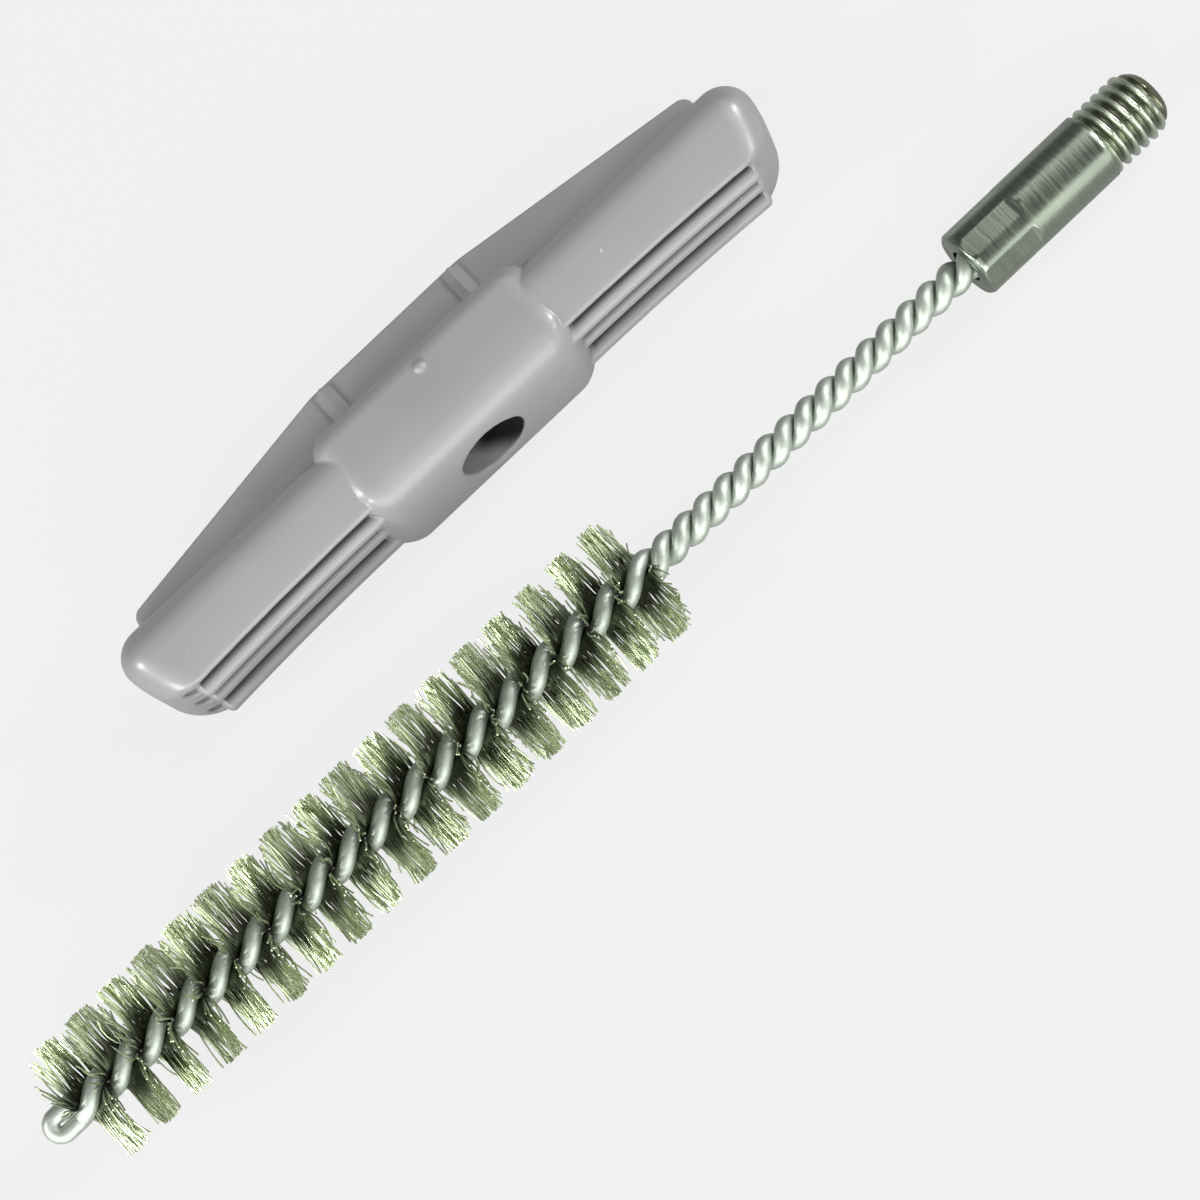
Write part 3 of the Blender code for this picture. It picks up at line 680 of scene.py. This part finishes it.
def gate_form(x, y, z):
    """The low round stub that the moulding's gate leaves on top of the hub."""
    radius = (GATE_RADIUS * GATE_RADIUS + GATE_HEIGHT * GATE_HEIGHT) / (2 * GATE_HEIGHT)
    centre_z = HUB_THICKNESS / 2 + GATE_HEIGHT - radius
    return np.sqrt(x * x + (y - GATE_Y) ** 2 + (z - centre_z) ** 2) - radius


def socket_form(x, y, z):
    """The blind socket with the screw thread inside it."""
    depth = HUB_DEPTH - SOCKET_FLOOR
    turns = y / THREAD_PITCH + np.arctan2(z, x) / math.tau
    threaded = (y > SOCKET_PLAIN_LENGTH) & (y < depth - THREAD_PITCH)
    ridge = SOCKET_THREAD_DEPTH * threaded * (1 - np.cos(turns * math.tau)) / 2
    wide = np.maximum(SOCKET_CHAMFER - y, 0)
    return np.maximum(np.hypot(x, z) - SOCKET_RADIUS - wide + ridge, y - depth)


def handle_form(x, y, z):
    """Distance from the moulded handle's surface, below zero inside it."""
    rows = [row - (RIB_COUNT - 1) / 2 for row in range(RIB_COUNT)]
    form = cut_out(arm_form(x, y, z), pocket_form(x, y, z), POCKET_REACH)
    for off_middle in rows:
        form = cut_out(form, notch_form(x, y, z, off_middle), NOTCH_SOFT_REACH)
    for off_middle in rows:
        form = joined(form, rib_form(x, y, z, off_middle), RIB_REACH)
    form = np.maximum(form, ARM_ROOT_X - np.abs(x))
    form = joined(form, hub_form(x, y, z), HUB_REACH)
    form = np.maximum(form, np.abs(z) - HUB_THICKNESS / 2)
    form = joined(form, joined(web_form(x, y, z), bead_form(x, y, z), BEAD_REACH), WEB_REACH)
    form = joined(form, gate_form(x, y, z), GATE_REACH)
    return cut_out(form, socket_form(x, y, z), SOCKET_EDGE_REACH)


def corner_crossings(values, corners):
    """Middle of the places where a cell's edges cross the surface, in shares of the cell."""
    total = np.zeros((len(values), 3))
    count = np.zeros(len(values))
    for a, first in enumerate(corners):
        for b, second in enumerate(corners):
            if b > a and np.abs(second - first).sum() == 1:
                crosses = (values[:, a] < 0) != (values[:, b] < 0)
                step = np.where(crosses, values[:, a] - values[:, b], 1)
                share = np.where(crosses, values[:, a] / step, 0)
                total += crosses[:, None] * (first + share[:, None] * (second - first))
                count += crosses
    return total / count[:, None]


def settled(form, points):
    """Points moved along the slope of a form onto its surface."""
    for _ in range(SETTLE_ROUNDS):
        depth = form(*points.T)
        shifts = np.eye(3) * SETTLE_STEP
        slope = np.stack([form(*(points + shift).T) - depth for shift in shifts], 1)
        slope /= SETTLE_STEP
        points = points - slope * (depth / (slope * slope).sum(1))[:, None]
    return points


def skin_mesh(name, form, low, high, cell):
    """An even skin of four-sided faces over the surface of a form."""
    spans = [np.arange(start, end + cell, cell) for start, end in zip(low, high)]
    grid = form(*np.meshgrid(*spans, indexing="ij", sparse=True))
    inside = grid < 0
    corners = np.array([(i, j, k) for i in (0, 1) for j in (0, 1) for k in (0, 1)])
    shape = np.array(grid.shape) - 1
    filled = sum(inside[i:i + shape[0], j:j + shape[1], k:k + shape[2]].astype(int)
                 for i, j, k in corners)
    cells = np.argwhere((filled > 0) & (filled < len(corners)))
    values = np.stack([grid[tuple((cells + corner).T)] for corner in corners], 1)
    points = np.array(low) + (cells + corner_crossings(values, corners)) * cell
    number = np.zeros(shape, dtype=int)
    number[tuple(cells.T)] = np.arange(len(cells))
    faces = []
    for axis in range(3):
        ahead = np.roll(inside, -1, axis)
        across, up = np.eye(3, dtype=int)[[(axis + 1) % 3, (axis + 2) % 3]]
        for leaves, order in ((inside & ~ahead, (0, 1, 2, 3)), (ahead & ~inside, (3, 2, 1, 0))):
            places = np.argwhere(leaves)
            around = [places - across - up, places - up, places, places - across]
            faces.append(np.stack([number[tuple(around[i].T)] for i in order], 1))
    mesh = bpy.data.meshes.new(name)
    mesh.from_pydata(settled(form, points).tolist(), [], np.concatenate(faces).tolist())
    mesh.shade_smooth()
    return mesh


def make_handle(finish):
    """The one-piece moulded handle: crossbar, finger ribs, hub, web, beads and socket."""
    margin = Vector((1, 1, 1)) * SKIN_MARGIN
    high = Vector((ARM_END, WEB_CROWN, HUB_THICKNESS / 2 + GATE_HEIGHT)) + margin
    low = Vector((-ARM_END, 0, -HUB_THICKNESS / 2)) - margin
    cell = SKIN_CELL
    mesh = skin_mesh("moulded_handle", handle_form, low, high, cell)
    mesh.transform(Matrix.Translation((0, MOUTH_Y, HUB_THICKNESS / 2)))
    mesh.materials.append(finish)
    handle = add_object("moulded_handle", mesh)
    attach(handle, "handle")
    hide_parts("t_handle")


def brush_axes():
    """The brush lies on its bristles and on its thread, so its axis slopes down to the thread."""
    tuft_end = TUFT_ZONE_END - TUFT_HALF_TURN / 2
    slope = math.atan((BRISTLE_RADIUS - THREAD_RADIUS) / (THREAD_END_X - tuft_end))
    height = THREAD_RADIUS * math.cos(slope) + THREAD_END_X * math.sin(slope)
    place = Matrix.Translation((BRUSH_LOOP_X, MOUTH_Y - BRUSH_LOOP_SET_OFF, height))
    return place @ Euler((0, slope, BRUSH_TURN)).to_matrix().to_4x4()


def twist_angle(x):
    """Angle of the first strand about the stem's axis, from +Z towards +Y: a left-hand twist."""
    first_front = TWIST_START + TUFT_HALF_TURN / 2
    if x <= TUFT_ZONE_END:
        half_turns = (x - first_front) / TUFT_HALF_TURN
    else:
        half_turns = (TUFT_ZONE_END - first_front) / TUFT_HALF_TURN
        half_turns += (x - TUFT_ZONE_END) / STEM_HALF_TURN
    return FACE_ANGLE + math.pi * half_turns


def around_axis(x, radius, angle):
    """A point at a distance from the stem's axis; the angle runs from +Z towards +Y."""
    return Vector((x, radius * math.sin(angle), radius * math.cos(angle)))


def add_tube(bm, points, radii, sides):
    """Sweep a round section along points without twisting it, and cap both ends."""
    tangent = (points[1] - points[0]).normalized()
    side = tangent.orthogonal().normalized()
    rings = []
    last = len(points) - 1
    for i, (point, radius) in enumerate(zip(points, radii)):
        ahead = (points[min(i + 1, last)] - points[max(i - 1, 0)]).normalized()
        side = (side - ahead * side.dot(ahead)).normalized()
        up = ahead.cross(side)
        rings.append([point + radius * (side * math.cos(math.tau * k / sides)
                                        + up * math.sin(math.tau * k / sides))
                      for k in range(sides)])
    add_skin(bm, rings)


def strand_offset(x):
    """Distance of a strand's centre from the stem's axis: wider where bristles lie between."""
    share = min(1, max(0, (x - TUFT_ZONE_END) / PINCH_LENGTH))
    return WIRE_TUFT_OFFSET + (WIRE_BARE_OFFSET - WIRE_TUFT_OFFSET) * share


def wire_line():
    """The line of the folded wire: down one strand, round the loop and back along the other."""
    end = CONNECTOR_X + STEM_INSERT
    step = TUFT_HALF_TURN / WIRE_STEPS_PER_HALF_TURN
    stations = [TWIST_START + step * i for i in range(TUFT_COUNT * WIRE_STEPS_PER_HALF_TURN)]
    bare_steps = round((end - TUFT_ZONE_END) / STEM_HALF_TURN * WIRE_STEPS_PER_HALF_TURN)
    stations += [TUFT_ZONE_END + (end - TUFT_ZONE_END) * i / bare_steps
                 for i in range(bare_steps + 1)]
    first = [around_axis(x, strand_offset(x), twist_angle(x)) for x in stations]
    second = [Vector((x, -y, -z)) for x, y, z in first]
    loop = []
    for step in range(LOOP_STEPS + 1):
        turn = math.pi * step / LOOP_STEPS
        x = LOOP_BEND_X - WIRE_TUFT_OFFSET * math.sin(turn)
        loop.append(around_axis(x, WIRE_TUFT_OFFSET * math.cos(turn), twist_angle(TWIST_START)))
    return list(reversed(first)) + loop + second


def make_stem(axes, finish):
    """The folded wire, twisted on itself from the loop to the connector."""
    points = wire_line()
    bm = bmesh.new()
    add_tube(bm, points, [WIRE_RADIUS] * len(points), WIRE_SIDES)
    finish_brush_piece("twisted_wire", bm, axes, finish, "twisted_stem_wire")


def finish_brush_piece(name, bm, axes, finish, node):
    """Place a piece of the brush, and let it stand for its solid."""
    mesh = mesh_from(bm, name)
    mesh.shade_smooth()
    mesh.set_sharp_from_angle(angle=CRISP_EDGE_ANGLE)
    mesh.materials.append(finish)
    mesh.transform(axes)
    piece = add_object(name, mesh)
    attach(piece, "brush")
    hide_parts(node)


def bristle_arm(x, side, middle, chance):
    """Points of one half of a bristle, from the grip outwards."""
    off = math.pi * (x - middle) / TUFT_HALF_TURN
    flat = twist_angle(middle) + math.pi / 2 + side * math.pi
    gathered = off - GATHER_SHARE * math.sin(2 * off)
    length = BRISTLE_RADIUS * (1 - LENGTH_SCATTER_SHARE * chance.random())
    root = around_axis(x, BRISTLE_GRIP_RADIUS, flat + off)
    tip_angle = flat + gathered + chance.gauss(0, ANGLE_SCATTER)
    tip = around_axis(x + math.tan(chance.gauss(0, LEAN_SCATTER)) * length, length, tip_angle)
    bow = Vector([chance.gauss(0, BOW_SCATTER) for _ in range(3)])
    points = []
    for step in range(BRISTLE_STEPS + 1):
        share = step / BRISTLE_STEPS
        points.append(root.lerp(tip, share) + bow * (4 * share * (1 - share)))
    return points


def rested(point, axes):
    """Lift a point of a bristle that would go through the table."""
    low = BRISTLE_WIRE_RADIUS - (axes @ point).z
    return point + Vector((0, 0, max(0, low)))


def make_tuft(number, axes, finish):
    """Half a turn of bristle wires, gripped at their middles between the two strands."""
    chance = random.Random(number)
    start = TWIST_START + (number - 1) * TUFT_HALF_TURN
    middle = start + TUFT_HALF_TURN / 2
    bm = bmesh.new()
    for wire in range(BRISTLES_PER_TUFT):
        x = start + TUFT_HALF_TURN * (wire + chance.random()) / BRISTLES_PER_TUFT
        one = bristle_arm(x, 0, middle, chance)
        other = bristle_arm(x, 1, middle, chance)
        points = [rested(point, axes) for point in list(reversed(one)) + other]
        add_tube(bm, points, [BRISTLE_WIRE_RADIUS] * len(points), BRISTLE_SIDES)
    finish_brush_piece(f"bristles_{number:02d}", bm, axes, finish,
                       f"bristle_tuft_{number:02d}")


def thread_depth_at(turns, depth):
    """How deep a thread is cut at a place in turns: flat crest, slanting flanks, round root."""
    share = abs(2 * (turns % 1) - 1)
    flank = min(1, max(0, (share - THREAD_CREST_SHARE) / THREAD_FLANK_SHARE))
    return depth * flank * flank * (3 - 2 * flank)


def connector_radius(x, turn):
    """Outer radius of the connector at a place along it and round it, counted in turns."""
    thread_start = CONNECTOR_LENGTH - THREAD_LENGTH
    if x > thread_start:
        widening = min(1, math.sqrt((CONNECTOR_LENGTH - x) / TIP_LENGTH))
        dome = TIP_FLAT_RADIUS + (THREAD_RADIUS - TIP_FLAT_RADIUS) * widening
        cut_in = thread_depth_at(x / THREAD_PITCH + turn, THREAD_DEPTH)
        return min(THREAD_RADIUS - cut_in, dome)
    radius = ROD_RADIUS - max(0, WIRE_END_CHAMFER - x)
    radius -= max(0, SHOULDER_ROUND - (thread_start - x))
    if x < CRIMP_LENGTH:
        flat_turn = (turn * CRIMP_FLATS + 1 / 2) % 1 - 1 / 2
        flat = CRIMP_ACROSS_FLATS / 2 / math.cos(flat_turn / CRIMP_FLATS * math.tau)
        ramp = max(0, x - (CRIMP_LENGTH - CRIMP_RAMP)) / CRIMP_RAMP
        flat += (ROD_RADIUS - CRIMP_ACROSS_FLATS / 2) * ramp
        radius = min(radius, flat)
    return radius


def connector_stations():
    """Places along the connector, close together where its shape changes quickly."""
    thread_start = CONNECTOR_LENGTH - THREAD_LENGTH
    thread_steps = round(THREAD_LENGTH / THREAD_PITCH * STEPS_PER_THREAD_TURN)
    spans = [
        (0, WIRE_END_CHAMFER, CHAMFER_STEPS),
        (WIRE_END_CHAMFER, CRIMP_LENGTH - CRIMP_RAMP, CRIMP_STEPS),
        (CRIMP_LENGTH - CRIMP_RAMP, CRIMP_LENGTH, RAMP_STEPS),
        (CRIMP_LENGTH, thread_start - SHOULDER_ROUND, ROD_STEPS),
        (thread_start - SHOULDER_ROUND, thread_start, SHOULDER_STEPS),
        (thread_start + STATION_GAP, CONNECTOR_LENGTH, thread_steps),
    ]
    stations = []
    for start, end, steps in spans:
        stations += [start + (end - start) * step / steps for step in range(steps)]
    return stations + [CONNECTOR_LENGTH]


def make_connector(axes, finish):
    """The turned steel connector: bore for the wire, crimped flats, plain rod and screw thread."""
    bore = [(STEM_INSERT + WIRE_RADIUS, CONNECTOR_BORE), (0, CONNECTOR_BORE)]
    outside = [(x, None) for x in connector_stations()]
    rings = []
    for x, bore_radius in bore + outside:
        ring = []
        for side in range(CONNECTOR_SIDES):
            turn = side / CONNECTOR_SIDES
            radius = bore_radius or connector_radius(x, turn)
            ring.append(around_axis(CONNECTOR_X + x, radius, turn * math.tau))
        rings.append(ring)
    bm = bmesh.new()
    add_skin(bm, rings)
    finish_brush_piece("threaded_steel_connector", bm, axes, finish, "threaded_connector")


def make_camera():
    """A camera that looks down on the table, rolled so that the pieces lie across the picture."""
    along = Vector((1, 0, 0))
    ahead = Vector((0, math.sin(VIEW_TILT), -math.cos(VIEW_TILT)))
    down = ahead.cross(along)
    right = math.cos(VIEW_ROLL) * along + math.sin(VIEW_ROLL) * down
    up = math.sin(VIEW_ROLL) * along - math.cos(VIEW_ROLL) * down
    lens = bpy.data.cameras.new("camera")
    lens.lens = LENS
    lens.sensor_width = SENSOR
    lens.clip_start = CLIP_START
    matrix = Matrix((right, up, -ahead)).transposed().to_4x4()
    matrix.translation = VIEW_CENTRE - ahead * VIEW_DISTANCE
    camera = add_object("camera", lens, matrix)
    bpy.context.scene.camera = camera


def softbox(name, width, height, place, radiance):
    """A rectangular lamp with an even face; its power follows from its size."""
    lamp = bpy.data.lights.new(name, "AREA")
    lamp.shape = "RECTANGLE"
    lamp.size = width
    lamp.size_y = height
    lamp.energy = radiance * math.pi * width * height
    box = add_object(name, lamp)
    box.location = place
    aim = Vector(LAMP_AIM) - Vector(place)
    box.rotation_euler = aim.to_track_quat("-Z", "Y").to_euler()
    box.visible_camera = False


def make_table():
    """A plain pale table that keeps the pieces' soft shadow."""
    finish = Finish(bpy.data.materials.new("pale_table"))
    lit = finish.surface(Base_Color=TABLE_TONE, Roughness=TABLE_ROUGHNESS,
                         Specular_IOR_Level=0)
    glow = finish.node("ShaderNodeEmission", None, {"Color": TABLE_GLOW})
    finish.lit_or_background("Material Output", TABLE_GLOW_SEEN, TABLE_GLOW_IN_METAL, lit, glow)
    bm = bmesh.new()
    bmesh.ops.create_grid(bm, x_segments=1, y_segments=1, size=TABLE_SIZE / 2)
    table = add_object("table", mesh_from(bm, "table"))
    table.data.materials.append(finish.owner)


def make_world():
    """Even, dim light from all round, with a pale background."""
    world = bpy.data.worlds.new("studio")
    bpy.context.scene.world = world
    finish = Finish(world)
    fill = finish.tree.nodes["Background"]
    finish.set(fill, {"Color": (1, 1, 1, 1), "Strength": WORLD_FILL})
    lit = Value(finish, fill.outputs[0])
    pale = finish.node("ShaderNodeBackground", None, {"Color": WORLD_BACKGROUND})
    finish.lit_or_background("World Output", 1, WORLD_IN_METAL, lit, pale)


def main():
    """Build the studio, the handle and the brush."""
    bpy.context.scene.view_settings.view_transform = "Standard"
    make_camera()
    make_table()
    make_world()
    for name, lamp in LAMPS.items():
        softbox(name, *lamp)
    make_handle(plastic_finish())
    axes = brush_axes()
    make_connector(axes, connector_finish(axes))
    make_stem(axes, wire_finish(axes))
    bristles = bristle_finish(axes)
    for number in range(1, TUFT_COUNT + 1):
        make_tuft(number, axes, bristles)


main()
